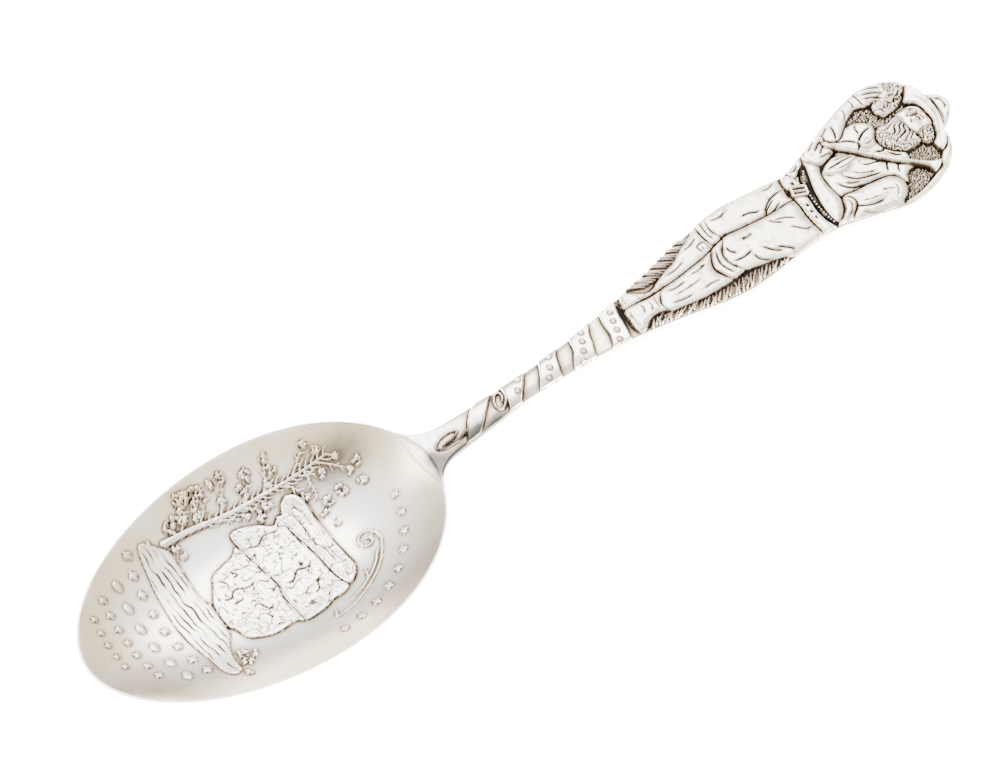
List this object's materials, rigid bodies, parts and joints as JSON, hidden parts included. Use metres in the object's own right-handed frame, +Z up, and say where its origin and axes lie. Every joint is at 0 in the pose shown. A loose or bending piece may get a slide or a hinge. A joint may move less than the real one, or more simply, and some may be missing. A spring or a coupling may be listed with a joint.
{
  "type": "souvenir spoon",
  "caption": "Souvenir spoon in struck silver: oval bowl with a balanced-rock scene, ribbon-wound stem, and a full-length prospector with a pick as the handle.",
  "frame": {"origin": "centre of the bounding box's bottom face, on the plane the spoon rests on", "axes": "+X along the spoon from the bowl's tip to the hat at the handle's end, +Y across the spoon on the side of the raised hand, +Z up out of the bowl"},
  "size_m": [0.148, 0.0336, 0.0086],
  "materials": {
    "polished_silver": "bright polished sterling silver with fine wear",
    "struck_silver": "die-struck silver relief, bright on top, warm brown tarnish in the recesses"
  },
  "bodies": {
    "root": {"balanced_rock": "struck_silver", "beard": "struck_silver", "belt": "struck_silver", "belt_buckle": "struck_silver", "belt_tongue": "struck_silver", "border_beads_inner": "struck_silver", "border_beads_middle": "struck_silver", "border_beads_outer": "struck_silver", "border_beads_side": "struck_silver", "border_lozenges": "struck_silver", "bowl": "polished_silver", "cartridge_belt": "struck_silver", "cartridges": "struck_silver", "face": "struck_silver", "far_boot": "struck_silver", "far_calf": "struck_silver", "far_knee_cuff": "struck_silver", "far_thigh": "struck_silver", "forearm": "struck_silver", "grass_far": "struck_silver", "grass_near": "struck_silver", "ground_ridge": "struck_silver", "hair": "struck_silver", "handle_plate": "polished_silver", "hat_brim": "struck_silver", "hat_crown": "struck_silver", "lower_hand": "struck_silver", "near_boot": "struck_silver", "near_calf": "struck_silver", "near_knee_cuff": "struck_silver", "near_thigh": "struck_silver", "neck": "polished_silver", "neckerchief_knot": "struck_silver", "neckerchief_tail": "struck_silver", "ore_nugget": "struck_silver", "pick_head": "struck_silver", "pick_shaft": "struck_silver", "raised_arm": "struck_silver", "raised_hand": "struck_silver", "ribbon_band_1": "polished_silver", "ribbon_band_2": "polished_silver", "ribbon_band_3": "polished_silver", "ribbon_band_4": "polished_silver", "ribbon_curl": "polished_silver", "ribbon_tail": "polished_silver", "rock_block": "struck_silver", "rock_foot": "struck_silver", "rolled_cuff": "struck_silver", "scroll": "struck_silver", "shirt_collar": "struck_silver", "shirt_front": "struck_silver", "shirt_waist": "struck_silver", "shrubs": "struck_silver", "stem": "polished_silver", "tree_branches": "struck_silver", "tree_foliage": "struck_silver", "tree_trunk": "struck_silver", "upper_sleeve": "struck_silver"}
  },
  "joints": []
}
